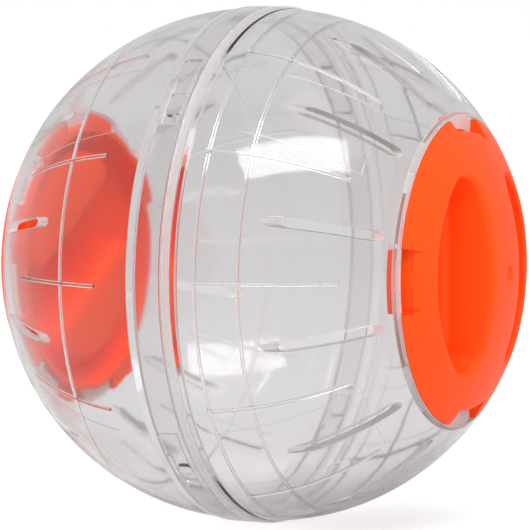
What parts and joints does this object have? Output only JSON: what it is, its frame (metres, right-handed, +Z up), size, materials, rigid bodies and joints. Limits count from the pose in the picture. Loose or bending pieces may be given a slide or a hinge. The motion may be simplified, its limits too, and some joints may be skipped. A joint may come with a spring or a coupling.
{
  "type": "hamster ball",
  "caption": "Clear exercise ball for a small pet: two twist-lock half shells with vent slots, and a domed twist-in door with a finger grip at each pole.",
  "frame": {"origin": "centre of the ball, half way between the two doors", "axes": "+Y along the ball's axis from the front door to the rear door, so the front door faces -Y; +Z up; +X to the right when the front door is looked at"},
  "size_m": [0.1208, 0.1238, 0.1208],
  "materials": {
    "clear_plastic": "clear, colourless, polished injection-moulded plastic",
    "orange_plastic": "opaque orange injection-moulded plastic with a satin gloss"
  },
  "bodies": {
    "front_shell": {"front_shell": "clear_plastic"},
    "rear_shell": {"rear_shell": "clear_plastic"},
    "front_door": {"front_door": "orange_plastic"},
    "rear_door": {"rear_door": "orange_plastic"}
  },
  "joints": [
    {"name": "halves_turn", "type": "hinge", "parent": "front_shell", "child": "rear_shell", "pos_m": [0, 0, 0], "axis": [0, 1, 0], "range_deg": [0, 10]},
    {"name": "front_door_turn", "type": "hinge", "parent": "front_shell", "child": "front_door", "pos_m": [0, 0, 0], "axis": [0, -1, 0], "range_deg": [0, 45]},
    {"name": "rear_door_turn", "type": "hinge", "parent": "rear_shell", "child": "rear_door", "pos_m": [0, 0, 0], "axis": [0, 1, 0], "range_deg": [0, 45]}
  ]
}
